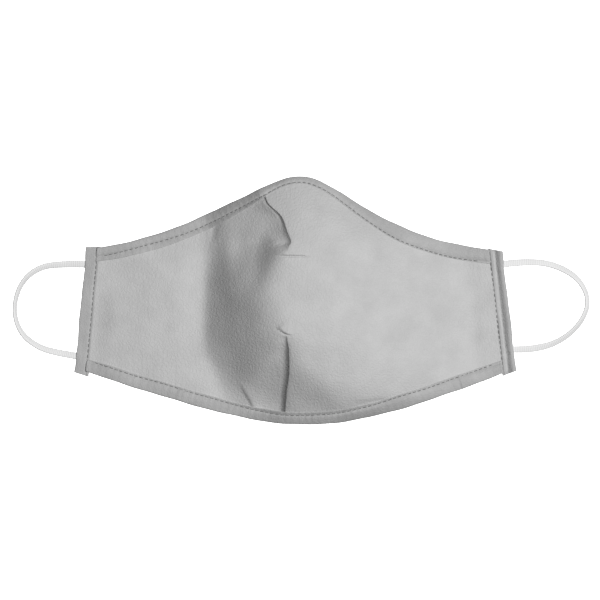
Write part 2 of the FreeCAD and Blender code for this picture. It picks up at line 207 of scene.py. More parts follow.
# Creases: the line, how deep, how wide, and how far the cloth on its right stands over that on its left.
CREASES = [
    ([(8.2, 24.1), (0.0, 24.3), (-13.0, 24.5)], 0.9, 0.6, 1.0),
    ([(-10.4, -14.0), (-8.4, -16.2), (-5.2, -18.2), (-1.0, -18.9)], 0.5, 0.6, -1.3),
    ([(-20.0, -69.0), (-22.8, -61.0), (-25.2, -55.5), (-28.5, -50.0), (-32.5, -44.0)], 0.3, 1.6, 1.5),
    ([(-40.5, 53.0), (-41.8, 46.0), (-44.0, 38.5), (-46.5, 30.0)], 0.8, 2.2, -0.7),
    ([(-12.0, 44.0), (-17.5, 34.0), (-19.5, 24.0), (-22.0, 13.0), (-29.0, 0.0)], 1.45, 5.5, 0.0),
    ([(52.0, -53.5), (42.0, -54.6), (30.0, -56.4)], 0.3, 1.4, 0.7),
    ([(93.5, -22.0), (99.0, -3.0), (99.5, 14.0)], 0.3, 3.0, 0.2),
]
CREASE_ENDS = 0.3  # share of a crease over which each end fades
LAP_FADE = 3.5  # how far from a crease the cloth stands up beside it
# Soft hollows and swells: middle, reach along x and y, height.
SWELLS = [
    ((9.0, -56.0), (11.0, 10.0), -1.6),
    ((-37.0, 28.0), (7.0, 20.0), 2.2),
    ((-104.0, -12.0), (13.0, 30.0), 1.0),
    ((-23.0, -32.0), (8.0, 16.0), 0.7),
    ((3.0, -8.0), (9.0, 22.0), 0.6),
    ((78.0, -8.0), (14.0, 20.0), 0.6),
    ((-70.0, 6.0), (16.0, 20.0), 0.5),
    ((-92.0, -14.0), (10.0, 16.0), 0.4),
    ((28.0, 34.0), (18.0, 16.0), 0.5),
    ((94.0, 22.0), (8.0, 14.0), -1.2),
    ((97.0, -14.0), (8.0, 20.0), -1.4),
]
UNEVEN_WAVES = [
    {"count": 14, "longest": 70, "shortest": 26, "height": 0.42, "seed": 3},
    {"count": 16, "longest": 18, "shortest": 8, "height": 0.05, "seed": 5},
]
HEM_HOLDS = 0.12  # share of each half, beside its hem, over which the unevenness dies out
# Ripples drawn up by the bindings' seams: height, where they start and are full, and how far they reach.
PUCKER_HIGH, PUCKER_FROM, PUCKER_OVER, PUCKER_FULL, PUCKER_FADE = 0.09, 2.5, 2.5, 5, 6.0
PUCKER_LONG, PUCKER_SHORT, SHORT_SHARE = 3.7, 2.6, 0.6


def beside(x, y, points):
    """Each place's share along a line and its distance from it, positive to the right of its way."""
    line = smooth_line(points)
    best = np.full(x.shape, np.inf)
    share, away = np.zeros(x.shape), np.zeros(x.shape)
    total = len(line) - 1
    for i, (a, b) in enumerate(zip(line, line[1:])):
        run = b - a
        raw = ((x - a[0]) * run[0] + (y - a[1]) * run[1]) / (run @ run)
        t = np.clip(raw, 0, 1)
        distance = np.hypot(x - a[0] - t * run[0], y - a[1] - t * run[1])
        side = np.sign((y - a[1]) * run[0] - (x - a[0]) * run[1])
        nearer = distance < best
        best = np.where(nearer, distance, best)
        share = np.where(nearer, (i + t) / total, share)
        away = np.where(nearer, -side * distance, away)
    return share, away


def waves(x, y, count, longest, shortest, height, seed):
    """Gentle unevenness: a sum of straight waves in all directions."""
    draw = np.random.default_rng(seed)
    z = np.zeros(np.shape(x))
    for _ in range(count):
        length = draw.uniform(shortest, longest)
        turn = draw.uniform(0, math.pi)
        start = draw.uniform(0, 2 * math.pi)
        z = z + np.sin(2 * math.pi * (x * math.cos(turn) + y * math.sin(turn)) / length + start)
    return z * height / math.sqrt(count)


def sines(at, terms, base=0.0):
    """base plus one sine for each term of height, length and start."""
    for height, length, start in terms:
        base = base + height * np.sin(at / length + start)
    return base


def inside(x, y):
    """How far a place lies inside the nose or chin edge, whichever is nearer."""
    high, low = nose_edge(x), chin_edge(x)
    below_high = (high - y) / np.hypot(1, slope_at(nose_edge, x))
    above_low = (y - low) / np.hypot(1, slope_at(chin_edge, x))
    return np.minimum(below_high, above_low)


# Each tape's width in the middle, and how much wider it gets, from which x, over how far, left and right.
TAPE_WIDTHS = {
    "top": (4.0, (4.0, -5, 38), (4.2, 12, 52)),
    "bottom": (6.7, (0.9, 2, 60), (1.2, 2, 60)),
}
WIDTH_WAVER = [(0.15, 11.0, 1.0), (0.08, 4.3, 0.0)]
TAPE_HIDES, TAPE_FREES = 2.5, 2.2  # where darts and creases start under a tape, and how soon they are full


def tape_width(edge, x):
    narrow, (more_left, from_left, over_left), (more_right, from_right, over_right) = TAPE_WIDTHS[edge]
    left, right = ease((from_left - x) / over_left), ease((x - from_right) / over_right)
    return sines(x, WIDTH_WAVER, base=narrow + more_left * left + more_right * right)


def past_tape(x, y):
    """0 well under a binding tape and 1 at its inner edge and beyond."""
    near_nose = nose_edge(x) - y < y - chin_edge(x)
    nearer = np.where(near_nose, tape_width("top", x), tape_width("bottom", x))
    return ease((inside(x, y) - nearer + TAPE_HIDES) / TAPE_FREES)


TUCK_FADE, FOLD_FADE = 9.0, 6.0  # how far a dart's sink reaches to its left and to its right
LIP_SHARE, LIP_FADE = 0.12, 0.5  # how far the cloth on its right turns down, as a share of the step


def dart(x, y, held, width, spread, step, sink):
    """A sewn dart: on its left the cloth drops by step within width and rises again over spread."""
    away = (x - guide(y)) / np.hypot(1, slope_at(guide, y))
    left, right = np.minimum(away, 0), np.maximum(away, 0)
    beyond = np.minimum(left + width, 0)
    falling = SEAM_DROP + (1 - SEAM_DROP) * np.sin(math.pi / 2 * np.clip(-left / width, 0, 1))
    dip = np.where(beyond < 0, bell(beyond, spread), falling)
    tucked = step * dip + sink * np.exp(beyond / TUCK_FADE)
    folded = sink * np.exp(-right / FOLD_FADE) + LIP_SHARE * step * np.exp(-right / LIP_FADE)
    return -held * np.where(away < 0, tucked, folded)


# Each size of a dart: at its tip, how much it grows by, and over what length.
CHIN_DART = {
    "held": (0.0, 1.0, 2.0),
    "width": (0.9, 2.1, 12),
    "spread": (2.0, 10.0, 22),
    "step": (0.8, 2.2, 11),
    "sink": (0.0, 0.9, 14),
}
NOSE_DART = {"held": (0.0, 1.0, 5.0), "spread": (2.5, 7.0, 16), "step": (2.7, 0, 1), "sink": (0.3, 0, 1)}
NOSE_FLATTENS, NOSE_FLATTENING = 37.0, (1, -0.45, 18)  # from this y on it is held less
NOSE_NARROWS, NOSE_WIDTH = 35.0, (2.7, -1.8, 16)  # and from this one on it is narrower


def grown(past, at_start, more, over):
    return at_start + more * ease(past / over)


def darts(x, y):
    """How far the two darts move the cloth."""
    chin = {name: grown(CHIN_DART_TIP - y, *size) for name, size in CHIN_DART.items()}
    nose = {name: grown(y - NOSE_DART_TIP, *size) for name, size in NOSE_DART.items()}
    nose["held"] = nose["held"] * grown(y - NOSE_FLATTENS, *NOSE_FLATTENING)
    nose["width"] = grown(y - NOSE_NARROWS, *NOSE_WIDTH)
    return dart(x, y, **chin) + dart(x, y, **nose)


def unevenness(x, y):
    """Soft unevenness that the layers and the tapes share. It dies out at the hems."""
    along, _ = stations(x, y)
    free = ease((1 - np.abs(along)) / HEM_HOLDS)
    z = sum(waves(x, y, **sizes) for sizes in UNEVEN_WAVES)
    for (middle_x, middle_y), (reach_x, reach_y), height in SWELLS:
        z = z + height * bell(np.hypot((x - middle_x) / reach_x, (y - middle_y) / reach_y), 1)
    return z * free


def puckers(x, y):
    """Short ripples square to the bindings, drawn up by their seams."""
    depth = inside(x, y)
    long_ripple = np.sin(2 * math.pi * x / PUCKER_LONG + sines(x, [(1.6, 9.0, 0.0)]))
    short_ripple = np.sin(2 * math.pi * x / PUCKER_SHORT + 2.0)
    strength = sines(x, [(0.5, 13.0, 0.8)], base=0.5)
    started = ease((depth - PUCKER_FROM) / PUCKER_OVER)
    fading = np.exp(-np.maximum(depth - PUCKER_FULL, 0) / PUCKER_FADE)
    return PUCKER_HIGH * (long_ripple + SHORT_SHARE * short_ripple) * strength * started * fading


def cloth(x, y):
    """Height of the face fabric's outer side."""
    z = cup(x, y) + unevenness(x, y) + puckers(x, y)
    free = past_tape(x, y)
    z = z + free * darts(x, y)
    for points, deep, wide, lap in CREASES:
        share, away = beside(x, y, points)
        ends = ease(share / CREASE_ENDS) * ease((1 - share) / CREASE_ENDS)
        high = np.abs(away) * np.sign(lap) * np.sign(away)
        lip = abs(lap) * np.exp(-np.maximum(high, 0) / LAP_FADE) * ease(high / wide + 0.5)
        z = z + free * ends * (lip - deep * bell(away, wide))
    return z


def tape_ground(places):
    """Height that the tapes follow, without the darts and creases that end under them."""
    x, y = places[:, 0], places[:, 1]
    return cup(x, y) + unevenness(x, y)


# ---- meshes ----


def add(name, data):
    """A new object in the scene."""
    item = bpy.data.objects.new(name, data)
    bpy.context.scene.collection.objects.link(item)
    return item


def make_mesh(name, points, faces, uvs=None):
    """An object from points in millimetres. uvs gives one texture place in millimetres for each point."""
    mesh = bpy.data.meshes.new(name)
    mesh.from_pydata((np.asarray(points) * MM).tolist(), [], faces)
    mesh.polygons.foreach_set("use_smooth", [True] * len(mesh.polygons))
    if uvs is not None:
        layer = mesh.uv_layers.new(name="Cloth")
        loops = np.empty(len(mesh.loops), np.int32)
        mesh.loops.foreach_get("vertex_index", loops)
        layer.data.foreach_set("uv", (np.asarray(uvs)[loops] * MM).ravel())
    mesh.validate()
    return add(name, mesh)


def quads(rows, columns, first=0, flip=False):
    """Faces of a grid of rows by columns points."""
    corner = first + np.arange(rows - 1)[:, None] * columns + np.arange(columns - 1)
    order = [corner, corner + 1, corner + columns + 1, corner + columns]
    faces = np.stack(order[::-1] if flip else order, -1).reshape(-1, 4)
    return faces.tolist()


def shell(name, x, y, top, thick):
    """A closed thin sheet over a grid of places."""
    rows, columns = x.shape
    upper = np.stack([x, y, top], -1).reshape(-1, 3)
    lower = upper - [0, 0, thick]
    count = len(upper)
    faces = quads(rows, columns, flip=True) + quads(rows, columns, first=count)
    grid = np.arange(count).reshape(rows, columns)
    rim = [*grid[0], *grid[1:, -1], *grid[-1, -2::-1], *grid[-2:0:-1, 0]]
    for a, b in zip(rim, rim[1:] + rim[:1]):
        faces.append([int(b), int(a), int(a) + count, int(b) + count])
    points = np.vstack([upper, lower])
    return make_mesh(name, points, faces, points[:, :2])


def tube_faces(count, around, first=0):
    """Faces of a closed tube through count rings of points, the first of which is number first."""
    faces = []
    for start in range(first, first + (count - 1) * around, around):
        for j in range(around):
            k = (j + 1) % around
            faces.append([start + j, start + k, start + around + k, start + around + j])
    last = first + (count - 1) * around
    faces += [list(range(first, first + around))[::-1], list(range(last, last + around))]
    return faces


def tube(name, rings, uvs):
    """A closed solid through rings of points. uvs has the rings' shape, with its seam where they close."""
    points, texture = rings.reshape(-1, 3), uvs.reshape(-1, 2)
    return make_mesh(name, points, tube_faces(*rings.shape[:2]), texture)


def outward(item):
    """Makes every face of a closed mesh look outwards."""
    work = bmesh.new()
    work.from_mesh(item.data)
    bmesh.ops.recalc_face_normals(work, faces=work.faces)
    work.to_mesh(item.data)
    work.free()
    return item


def unit(vector):
    return vector / np.linalg.norm(vector)


def tangents(line):
    """The way a line of points runs at each of them, one unit long."""
    way = np.gradient(line, axis=0)
    return way / np.linalg.norm(way, axis=1)[:, None]


# ---- camera ----

CAMERA_HIGH = 3000.0
VIEW_WIDE = 330.0
VIEW_LEVEL = 8.0  # height at which the view is that wide
VIEW_MIDDLE = (2.475, 0.275)
SENSOR_WIDE = 36
SEEN_FROM, SEEN_TO = 0.05, 20  # metres


def make_camera():
    data = bpy.data.cameras.new("Camera")
    data.sensor_width = SENSOR_WIDE
    data.lens = SENSOR_WIDE * (CAMERA_HIGH - VIEW_LEVEL) / VIEW_WIDE
    data.clip_start, data.clip_end = SEEN_FROM, SEEN_TO
    camera = add("Camera", data)
    camera.location = Vector((*VIEW_MIDDLE, CAMERA_HIGH)) * MM
    bpy.context.scene.camera = camera


make_camera()

# ---- ear loops: flat knitted elastic, laid in a loose loop and twisted as it goes ----

ELASTIC, LOOP_GAP = 3.2, 0.3
ELASTIC_WIDE, ELASTIC_THICK = 3.8, 1.5
LOOP_ENDS = {"left": (19.8, -30.4), "right": (20.1, -27.2)}
# Where each loop lies between its two ends: how far out from the hem's edge, and y.
LOOP_ROUTE = {
    "left": [
        (11.0, 20.2), (25.0, 18.6), (34.5, 9.5), (37.0, -5.0),
        (32.0, -18.0), (21.0, -26.0), (9.5, -29.0),
    ],
    "right": [
        (10.5, 21.4), (26.0, 20.6), (40.0, 13.0), (45.0, 0.0),
        (38.5, -13.0), (25.5, -23.0), (10.5, -27.0),
    ],
}
# How far the band is turned from lying flat, in degrees, at equal steps along the loop.
LOOP_TWIST = {
    "left": [8, 12, 32, 54, 62, 57, 36, 12, 5],
    "right": [5, 12, 24, 42, 52, 50, 36, 15, 7],
}
TWIST_ROUNDS = 30  # how many times the twist is smoothed
HIDDEN = 3.0  # length of each end inside its hem
LOOP_STEP = 0.7
LOOP_CLEAR = 0.15  # space under the loop
ENDS_SHARE = 0.14  # share of a loop over which each end leaves the hem's middle for the floor
BAND_SWELL, SWELL_LONG = 0.03, 5.0  # share by which the band's width varies, and how slowly
RIBS_ROUND = 9.0  # length of texture that goes once round the band


def rim_frame(side):
    """A hem's middle, the way out from its edge, and the way along it to its nose end."""
    high = np.array([RIM_TOP[side], RIM_HIGH[side]])
    low = np.array([RIM_END[side], RIM_LOW])
    along = unit(high - low)
    out = np.array([along[1], -along[0]]) * SIDES[side]
    return (high + low) / 2, out, along


def pivot(side, y):
    """Where a loop's end turns, just outside the hem."""
    _, out, _ = rim_frame(side)
    x, y = np.array([side_edge(side, y), y]) + out * (ELASTIC / 2 + LOOP_GAP)
    return np.array([x, y, ELASTIC / 2])


def loop_line(side):
    """Points along the loop's own spline, from one end to the other."""
    start, end = (pivot(side, y) for y in LOOP_ENDS[side])
    control = [start]
    for out, y in LOOP_ROUTE[side]:
        control.append(np.array([side_edge(side, y) + SIDES[side] * out, y, ELASTIC / 2]))
    control.append(end)
    curve = bpy.data.curves.new(f"loop_line_{side}", "CURVE")
    curve.dimensions = "3D"
    spline = curve.splines.new("NURBS")
    spline.points.add(len(control) - 1)
    for point, place in zip(spline.points, control):
        point.co = (*(place * MM), 1)
    spline.order_u = 3
    spline.use_endpoint_u = True
    spline.resolution_u = 24
    item = bpy.data.objects.new(curve.name, curve)
    mesh = bpy.data.meshes.new_from_object(item)
    line = np.array([v.co for v in mesh.vertices]) / MM
    bpy.data.objects.remove(item)
    bpy.data.curves.remove(curve)
    bpy.data.meshes.remove(mesh)
    return line


def even_steps(line, step):
    """The same line with its points a step apart."""
    run = np.concatenate([[0], np.cumsum(np.linalg.norm(np.diff(line, axis=0), axis=1))])
    places = np.linspace(0, run[-1], max(2, round(run[-1] / step) + 1))
    return np.stack([np.interp(places, run, line[:, i]) for i in range(line.shape[1])], -1), places


def band_section(around=40):
    """Half-round-edged section of the elastic, one unit wide and thick each way, ribbed on its faces."""
    turn = np.linspace(0, 2 * math.pi, around, endpoint=False)
    wide = np.sign(np.cos(turn)) * np.abs(np.cos(turn)) ** 0.75
    thick = np.sign(np.sin(turn)) * np.abs(np.sin(turn)) ** 0.6
    ribs = 1 + 0.11 * np.cos(wide * 2.5 * 2 * math.pi) * np.abs(np.sin(turn)) ** 2
    return wide, thick * ribs, turn


def make_loop(side):
    """The band along the loop's line, with its ends sewn into the hem, and the points along its middle."""
    line = loop_line(side)
    sewn_in = HIDDEN + LOOP_GAP + ELASTIC / 2
    start = line[0] + unit(line[0] - line[1]) * sewn_in
    end = line[-1] + unit(line[-1] - line[-2]) * sewn_in
    path, run = even_steps(np.vstack([start, line, end]), LOOP_STEP)
    share = run / run[-1]
    twist = np.radians(np.interp(share, np.linspace(0, 1, len(LOOP_TWIST[side])), LOOP_TWIST[side]))
    for _ in range(TWIST_ROUNDS):
        twist[1:-1] = (twist[:-2] + 2 * twist[1:-1] + twist[2:]) / 4
    tangent = tangents(path)
    flat = np.cross(tangent, [0, 0, 1.0])
    wide, thick, turn = band_section()
    half_wide = ELASTIC_WIDE / 2 * sines(run, [(BAND_SWELL, SWELL_LONG, 0.0)], base=1)
    half_thick = ELASTIC_THICK / 2
    standing = np.hypot(half_wide * np.sin(twist), half_thick * np.cos(twist))
    lying = ease(np.minimum(share, 1 - share) / ENDS_SHARE)
    centre = path.copy()
    centre[:, 2] = (1 - lying) * HEM_THICK / 2 + lying * (standing + LOOP_CLEAR)
    across = flat * np.cos(twist)[:, None] + np.array([0, 0, 1.0]) * np.sin(twist)[:, None]
    upward = np.cross(across, tangent)
    rings = (
        centre[:, None]
        + across[:, None] * (half_wide[:, None] * wide)[..., None]
        + upward[:, None] * (half_thick * thick)[None, :, None]
    )
    uvs = np.stack(np.broadcast_arrays(run[:, None], (turn / (2 * math.pi) * RIBS_ROUND)[None]), -1)
    return outward(tube(f"elastic_loop_{side}", rings, uvs)), centre


loops = {side: make_loop(side) for side in SIDES}

# ---- fabric layers ----

REACH_IN = 4.0  # how far the layers reach into the hems
WARP_REACH = 48.0  # how far from the darts the mesh still bends with them
WARP_ROUNDS = 8
HALF_GAP = 0.04  # from the darts' seam to the nearest column on each side
ROWS_REACH = 0.99  # share of the way to the nose and chin edges that the layers reach
# Where the mesh is finer: the place, and how far round it.
DENSE_LEFT, DENSE_RIGHT = [(FOLD_X, 1.0)], [(FOLD_X, 0.6)]
DENSE_ROWS = [(24.4, 1.2), (-17.4, 2.5)]
COARSER = 0.35  # how fast the steps grow with the distance from a fine place


def spread_steps(start, end, step, dense, fine):
    """Places from start to end a step apart, closer round each dense place."""
    places = [start]
    while places[-1] < end:
        nearest = min(max(0.0, abs(places[-1] - at) - half) for at, half in dense)
        places.append(places[-1] + min(step, fine + nearest * COARSER))
    places = np.array(places)
    return start + (places - start) * (end - start) / (places[-1] - start)


def plan_grid(step, fine):
    """Places over the mask, in columns that follow the darts and rows that crowd at the sharp creases."""
    left = side_edge("left", 0) + HEM_WIDE - REACH_IN
    right = side_edge("right", 0) - HEM_WIDE + REACH_IN
    columns_left = spread_steps(left, FOLD_X - HALF_GAP, step, DENSE_LEFT, fine)
    columns_right = spread_steps(FOLD_X + HALF_GAP, right, step, DENSE_RIGHT, fine)
    columns = np.concatenate([columns_left, columns_right])
    on_left = columns < FOLD_X
    high, low = nose_edge(FOLD_X), chin_edge(FOLD_X)
    rows = spread_steps(low * ROWS_REACH, high * ROWS_REACH, step, DENSE_ROWS, fine)
    across = ((2 * rows - high - low) / (high - low))[:, None]
    lean = np.where(on_left, (FOLD_X - columns) / (FOLD_X - left), (columns - FOLD_X) / (right - FOLD_X))
    bend = 1 - ease(np.abs(columns - FOLD_X) / WARP_REACH)
    x = np.broadcast_to(columns, (len(rows), len(columns))).copy()
    for _ in range(WARP_ROUNDS):
        y = (nose_edge(x) * (1 + across) + chin_edge(x) * (1 - across)) / 2
        edge = np.where(on_left, side_edge("left", y), side_edge("right", y))
        shift = edge - np.where(on_left, side_edge("left", 0), side_edge("right", 0))
        x = columns + lean * shift + bend * (guide(y) - FOLD_X)
    return x, y


def make_layers():
    """The three layers, one under another."""
    x, y = plan_grid(step=0.95, fine=0.22)
    top = cloth(x, y)
    face = shell("face_fabric", x, y, top, FACE_THICK)
    lining = shell("lining_fabric", x, y, top - FACE_THICK - FILTER_THICK - 2 * LAYER_GAP, LINING_THICK)
    middle = shell("filter_felt", x, y, top - FACE_THICK - LAYER_GAP, FILTER_THICK)
    return face, middle, lining


face, filter_felt, lining = make_layers()

# ---- binding tapes ----

EDGES = {"top": (nose_edge, -1), "bottom": (chin_edge, 1)}
TAPE_JOINS = {"top": [], "bottom": [-66.5, 91.5]}  # x where one length of tape laps over the next
JOIN_DEEP, JOIN_WIDE, JOIN_STEP, JOIN_FADE = 0.4, 0.45, 0.25, 5
TAPE_UNDER = {"left": 2.0, "right": 0.55}  # how far the tapes run in under each hem
TAPE_SKEWED = 14.0  # length of tape over which its slanting end is taken up
TAPE_STEP = 0.7
TAPE_SHARES = [1.0, 0.985, 0.94, 0.5, 0.34, 0.2, 0.1, 0.04, 0.012]  # where points lie across the tape
BESIDE_SEAM = (0.55, 0.0, -0.6)  # where more of them lie beside its seam
SEAM_LIMIT = 0.95  # share of the width that those stay within
TAPE_WOBBLE = [(0.12, 6.1, 0), (0.08, 2.7, 1)]
RIPPLE_HIGH, RIPPLE_LONG, RIPPLE_FROM = 0.07, 3.9, 1.5
STITCH_PITCH, STITCH_PULL, PULL_WIDE = 2.9, 0.16, 1.1
OUTER_FOLD = 0.02  # how far the tape stands out beyond the layers' edge
UNDER_SHARE = 0.75  # its height under the layers, as a share of that over them
TAPE_LOWEST = 0.12
# The tape's height: flat, how much more where it is folded, and the groove along its seam.
TAPE_RISE, TAPE_PUFF, PUFF_MIDDLE, PUFF_REACH, PUFF_END = 0.55, 0.65, 0.45, 0.58, 0.6
GROOVE_DEEP, GROOVE_WIDE = 0.5, 0.45
EDGE_LOW, EDGE_MORE, EDGE_ROUND = 0.55, 0.45, 0.25  # shares of the height at the inner edge
THIN_ROWS = [0.93, 0.6]  # shares of the height in the last two rows at the outer edge
# The chin seam's distance from the inner edge, and how much nearer it comes, from which x, over how far.
CHIN_SEAM, CHIN_SEAM_NEARER, CHIN_SEAM_WAVER = 1.8, (0.7, 2, 60), [(0.12, 7.0, 0)]
NOSE_SEAM, NOSE_SEAM_LEFT = 0.7, 4.9  # from the inner edge, and at most from the outer edge on the left
NOSE_LEFT_WAVER, NOSE_SEAM_WAVER = [(0.5, 11.0, 0)], [(0.08, 6.0, 0)]


def seam_depth(edge, x):
    """How far the seam runs from the outer edge."""
    wide = tape_width(edge, x)
    if edge == "bottom":
        nearer, middle, over = CHIN_SEAM_NEARER
        depth = wide - CHIN_SEAM + nearer * ease(np.abs(x - middle) / over)
        return sines(x, CHIN_SEAM_WAVER, base=depth)
    on_left = sines(x, NOSE_LEFT_WAVER, base=NOSE_SEAM_LEFT)
    depth = np.minimum(wide - NOSE_SEAM, np.where(x < 0, on_left, wide))
    return sines(x, NOSE_SEAM_WAVER, base=depth)


def edge_line(edge):
    """Evenly spaced places along an edge, the way into the mask at each, and the length run."""
    outline, into = EDGES[edge]
    rim = RIM_TOP if edge == "top" else RIM_END
    left, right = (rim[side] - SIDES[side] * (HEM_WIDE - TAPE_UNDER[side]) for side in SIDES)
    x = np.linspace(left, right, num=1200)
    line, run = even_steps(np.stack([x, outline(x)], -1), TAPE_STEP)
    tangent = tangents(line)
    normal = np.stack([-tangent[:, 1], tangent[:, 0]], -1) * into
    return line, normal, run


def tape_heights(depth, wide, seam):
    """Height of the tape over the cloth at a depth from the outer edge."""
    puff = np.sqrt(np.clip(1 - ((depth - PUFF_MIDDLE * seam) / (PUFF_REACH * seam)) ** 2, 0, 1))
    rise = TAPE_RISE + TAPE_PUFF * puff * ease((seam - depth) / PUFF_END + 0.5)
    rise = rise - GROOVE_DEEP * bell(depth - seam, GROOVE_WIDE)
    return rise * (EDGE_LOW + EDGE_MORE * ease((wide - depth) / EDGE_ROUND))


def round_ring(rings):
    """How far round its ring each point lies."""
    return np.cumsum(np.linalg.norm(np.diff(rings, axis=1, prepend=rings[:, :1]), axis=2), axis=1)


def along_hems(place, run):
    """The same places, with the ends of their row moved so that the tape is cut along the hems."""
    place = place.copy()
    for side, last in (("left", 0), ("right", -1)):
        goal = side_edge(side, place[last, 1]) - SIDES[side] * (HEM_WIDE - TAPE_UNDER[side])
        place[:, 0] += (goal - place[last, 0]) * ease(1 - np.abs(run - run[last]) / TAPE_SKEWED)
    return place


def tape_rings(edge):
    """Rings of points round the tape: over the layers, round the outer edge, and back under them."""
    line, normal, run = edge_line(edge)
    x0 = line[:, 0]
    wide, seam = tape_width(edge, x0), seam_depth(edge, x0)
    stitch = 0.5 + 0.5 * np.cos(2 * math.pi * run / STITCH_PITCH)
    ripple = RIPPLE_HIGH * np.sin(2 * math.pi * run / RIPPLE_LONG + sines(run, [(1.3, 11.0, 0)]))
    wobble = sines(run, TAPE_WOBBLE)
    depths = [wide * share for share in TAPE_SHARES]
    depths += [np.minimum(seam + beside_seam, wide * SEAM_LIMIT) for beside_seam in BESIDE_SEAM]
    depths = np.sort(depths, axis=0)[::-1]
    thinning = [1.0] * (len(depths) - len(THIN_ROWS)) + THIN_ROWS
    upper = []
    for depth, thin in zip(depths, thinning):
        rise = tape_heights(depth, wide, seam)
        rise = rise - STITCH_PULL * stitch * bell(depth - seam, PULL_WIDE)
        rise = rise + ripple * ease(depth / RIPPLE_FROM)
        for join in TAPE_JOINS[edge]:
            lapped = np.where(x0 > join, np.exp(-(x0 - join) / JOIN_FADE), 0)
            rise = rise - JOIN_DEEP * bell(x0 - join, JOIN_WIDE) + JOIN_STEP * lapped
        place = along_hems(line + normal * (depth + wobble * (1 - depth / wide))[:, None], run)
        upper.append((place, rise * thin))
    rings = [np.column_stack([place, tape_ground(place) + rise]) for place, rise in upper]
    outer = along_hems(line + normal * (wobble - OUTER_FOLD)[:, None], run)
    rings.append(np.column_stack([outer, tape_ground(outer) - STACK / 2]))
    for place, rise in upper[::-1]:
        under = np.maximum(tape_ground(place) - STACK - rise * UNDER_SHARE, TAPE_LOWEST)
        rings.append(np.column_stack([place, under]))
    rings = np.stack(rings, 1)
    return rings, np.stack(np.broadcast_arrays(run[:, None], round_ring(rings)), -1)


tapes = {edge: outward(tube(f"{edge}_tape", *tape_rings(edge))) for edge in EDGES}

# ---- stitches ----

STITCH_LONG, THREAD_THICK, STITCH_AROUND = 2.45, 0.5, 8
STITCH_SHIFT, STITCH_SKEW, STITCH_LONG_SHARE = 0.12, 0.07, (0.93, 1.05)  # how much the stitches differ
SEAM_STEP = 0.2
PROUD = 0.02  # how far the thread's middle stands over the cloth
SEAM_SPARE = 4  # points at each end of a tape that its seam leaves out


def stitch_template():
    """Rings of one stitch, along x from -0.5 to 0.5, one unit thick, its ends dipping down."""
    along = np.array([-0.5, -0.44, -0.3, 0.0, 0.3, 0.44, 0.5])
    thick = np.array([0.3, 0.75, 1.0, 1.0, 1.0, 0.75, 0.3]) / 2
    sink = np.array([-0.9, -0.45, -0.1, 0.0, -0.1, -0.45, -0.9])
    turn = np.linspace(0, 2 * math.pi, STITCH_AROUND, endpoint=False)
    beside = thick[:, None] * np.cos(turn)
    above = thick[:, None] * np.sin(turn) + sink[:, None]
    return np.stack([np.broadcast_to(along[:, None], beside.shape), beside, above], -1)


def stitch_row(path, up):
    """Points and faces of a row of stitches along a path. up is 1 on top of the cloth and -1 under it."""
    line, run = even_steps(path, SEAM_STEP)
    tangent = tangents(line)
    template = stitch_template()
    count, around = template.shape[:2]
    points, faces = [], []
    for place in np.arange(STITCH_PITCH / 2, run[-1] - STITCH_PITCH / 2, STITCH_PITCH):
        place = place + rng.uniform(-STITCH_SHIFT, STITCH_SHIFT)
        at = np.array([np.interp(place, run, line[:, i]) for i in range(3)])
        way = np.array([np.interp(place, run, tangent[:, i]) for i in range(3)])
        skew = rng.uniform(-STITCH_SKEW, STITCH_SKEW)
        across = unit(np.cross([0, 0, 1.0], way))
        way = way + across * skew
        lift = np.cross(way, across) * up
        stitch = at + (
            template[..., :1] * STITCH_LONG * rng.uniform(*STITCH_LONG_SHARE) * way
            + template[..., 1:2] * THREAD_THICK * across
            + template[..., 2:] * THREAD_THICK * lift
        )
        faces += tube_faces(count, around, first=len(points) * count * around)
        points.append(stitch.reshape(-1, 3))
    return np.vstack(points), faces


def make_stitches(name, rows):
    """One piece from several rows of stitches, each given as a path and the way it faces."""
    points, faces = [], []
    for path, up in rows:
        more, their = stitch_row(path, up)
        first = sum(len(p) for p in points)
        points.append(more)
        faces += [[first + v for v in face] for face in their]
    points = np.vstack(points)
    return outward(make_mesh(name, points, faces, points[:, :2]))


def tape_seam(edge):
    """The two rows of stitches through a tape, over and under the layers."""
    line, normal, _ = edge_line(edge)
    x0 = line[:, 0]
    seam = seam_depth(edge, x0)
    place = line + normal * seam[:, None]
    ground = tape_ground(place)
    rise = tape_heights(seam, tape_width(edge, x0), seam)
    over = np.column_stack([place, ground + rise + PROUD])
    under = np.column_stack([place, ground - STACK - rise * UNDER_SHARE - PROUD])
    inner = slice(SEAM_SPARE, -SEAM_SPARE)
    return [(over[inner], 1), (under[inner], -1)]


tape_stitches = {edge: make_stitches(f"{edge}_tape_stitches", tape_seam(edge)) for edge in EDGES}

# ---- side hems ----

# Nose and chin ends of each hem, at its outer edge and at its inner edge.
HEM_ENDS = {"left": ((29.5, 29.7), (-39.4, -42.0)), "right": ((27.0, 28.6), (-38.6, -41.6))}
HEM_SEAM = {"left": 6.4, "right": 7.35}
HEM_FOLD = 4.9  # depth of the fold that runs along the right hem
HEM_ROUND = 0.2
PLEAT_RUN, PLEAT_DEEP, PLEAT_WIDE = 55.3, 0.7, 0.7  # a short fold across the right hem, at the elastic
PLEAT_FROM, PLEAT_FROM_OVER, PLEAT_TO, PLEAT_TO_OVER = 1.8, 1.2, 6.6, 0.8
# The right hem's outer roll, the inner one beyond its fold, and the fold.
ROLL_FROM, ROLL_LOW, ROLL_MORE = 1.5, 1.35, 1.85
INNER_MIDDLE, INNER_MORE, INNER_POWER = 6.9, 1.25, 1.6
FOLD_DEEP, FOLD_WIDE = 0.35, 0.5
